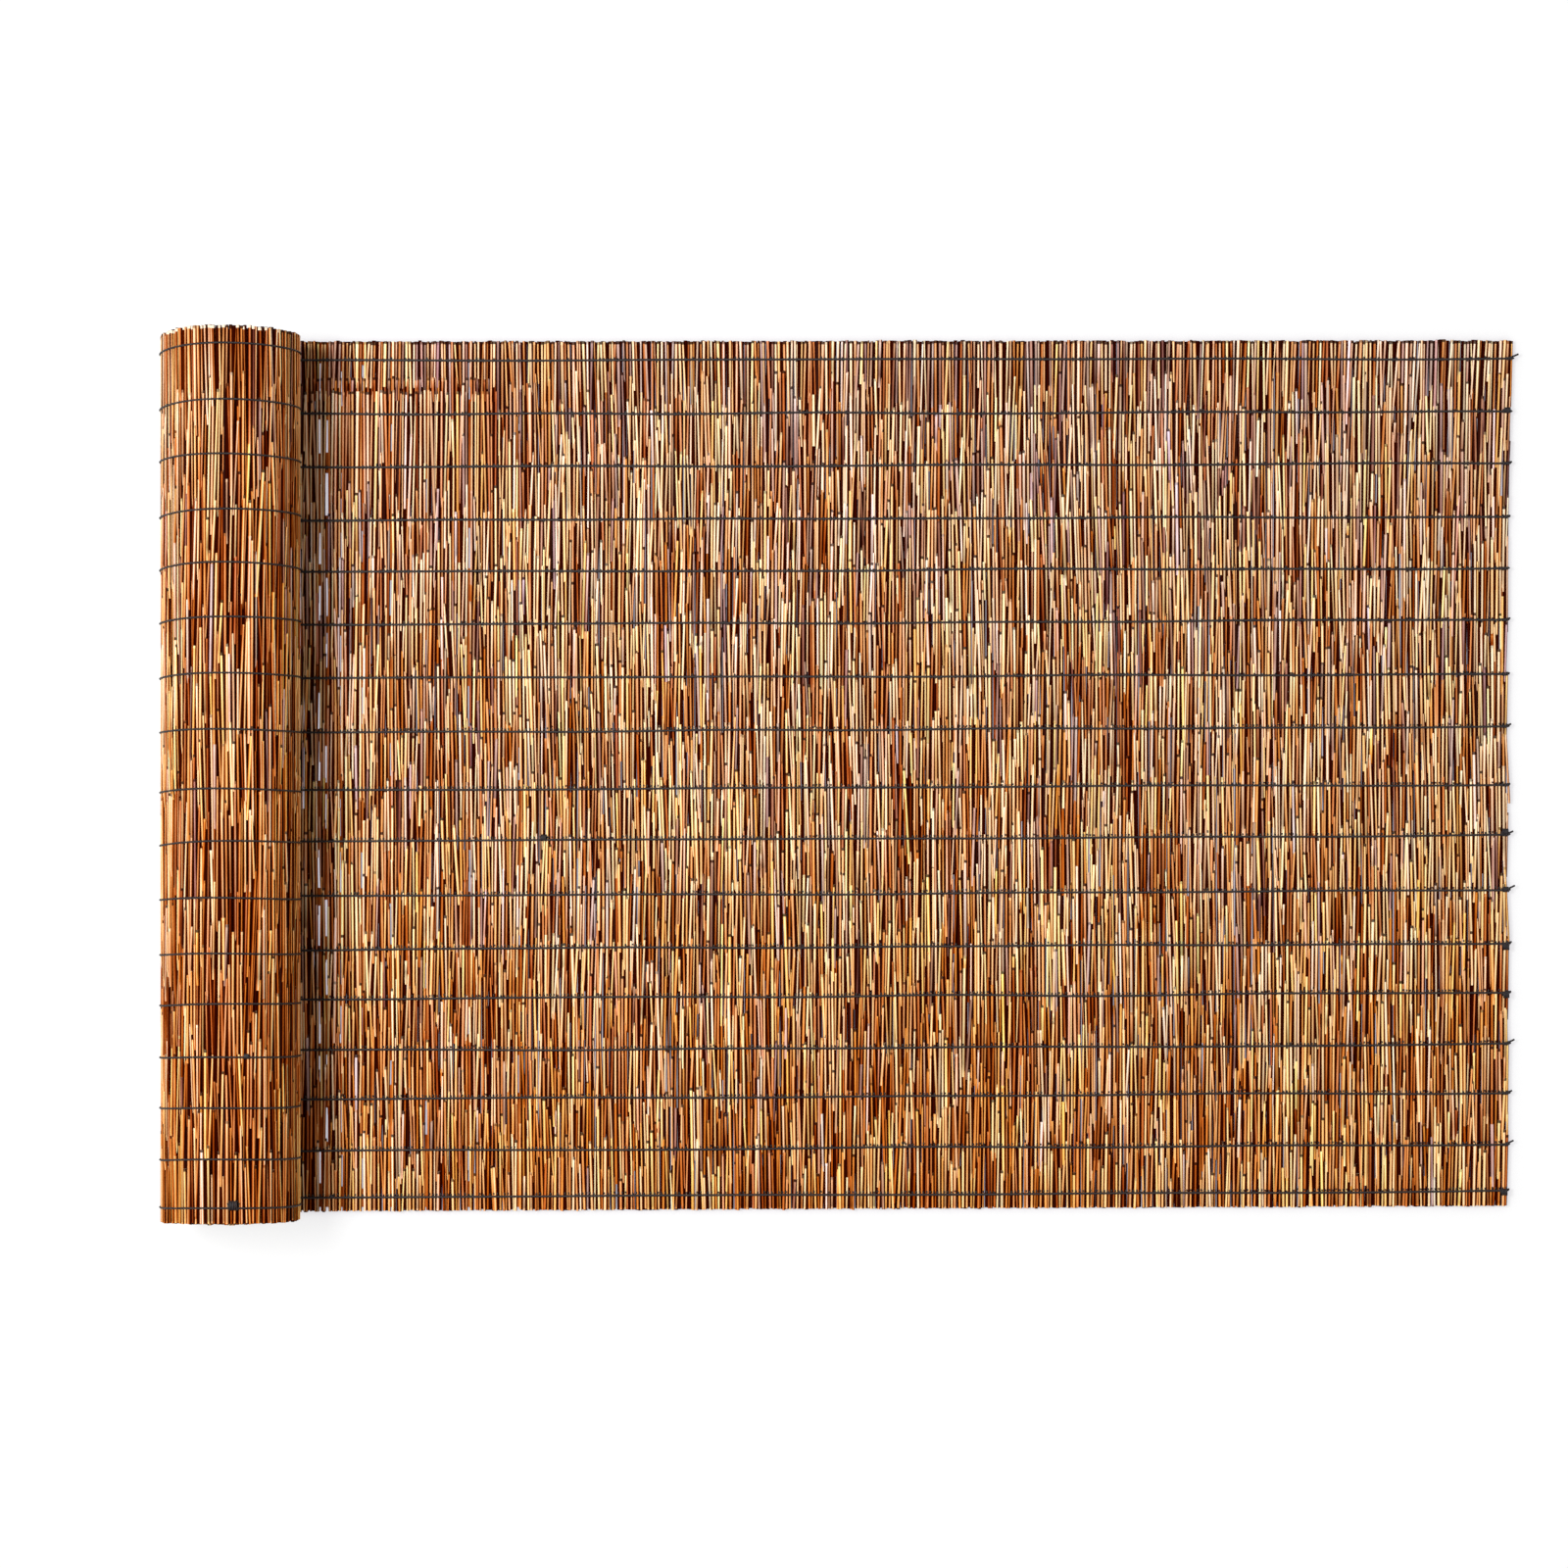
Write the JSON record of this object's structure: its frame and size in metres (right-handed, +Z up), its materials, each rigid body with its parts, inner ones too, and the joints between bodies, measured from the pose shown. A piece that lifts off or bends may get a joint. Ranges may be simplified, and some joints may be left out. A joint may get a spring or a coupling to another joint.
{
  "type": "reed screening mat",
  "caption": "Natural reed screening mat, partly unrolled: a flat run of brown reeds bound with rows of dark wire, with the rest wound into a roll at one end.",
  "frame": {"origin": "on the ground, under the middle of the whole object's footprint", "axes": "+X along the mat from the roll to the free edge, +Y along the reeds towards their upper ends, +Z up"},
  "size_m": [1.8934, 1.22, 0.2024],
  "materials": {
    "reed": "matte",
    "wire": "satin"
  },
  "bodies": {
    "root": {"reed_mat": "reed", "binding_wire_01": "wire", "binding_wire_02": "wire", "binding_wire_03": "wire", "binding_wire_04": "wire", "binding_wire_05": "wire", "binding_wire_06": "wire", "binding_wire_07": "wire", "binding_wire_08": "wire", "binding_wire_09": "wire", "binding_wire_10": "wire", "binding_wire_11": "wire", "binding_wire_12": "wire", "binding_wire_13": "wire", "binding_wire_14": "wire", "binding_wire_15": "wire", "binding_wire_16": "wire", "binding_wire_17": "wire", "roll_wire_01": "wire", "roll_wire_02": "wire", "roll_wire_03": "wire", "roll_wire_04": "wire", "roll_wire_05": "wire", "roll_wire_06": "wire", "roll_wire_07": "wire", "roll_wire_08": "wire", "roll_wire_09": "wire", "roll_wire_10": "wire", "roll_wire_11": "wire", "roll_wire_12": "wire", "roll_wire_13": "wire", "roll_wire_14": "wire", "roll_wire_15": "wire", "roll_wire_16": "wire", "roll_wire_17": "wire"}
  },
  "joints": []
}
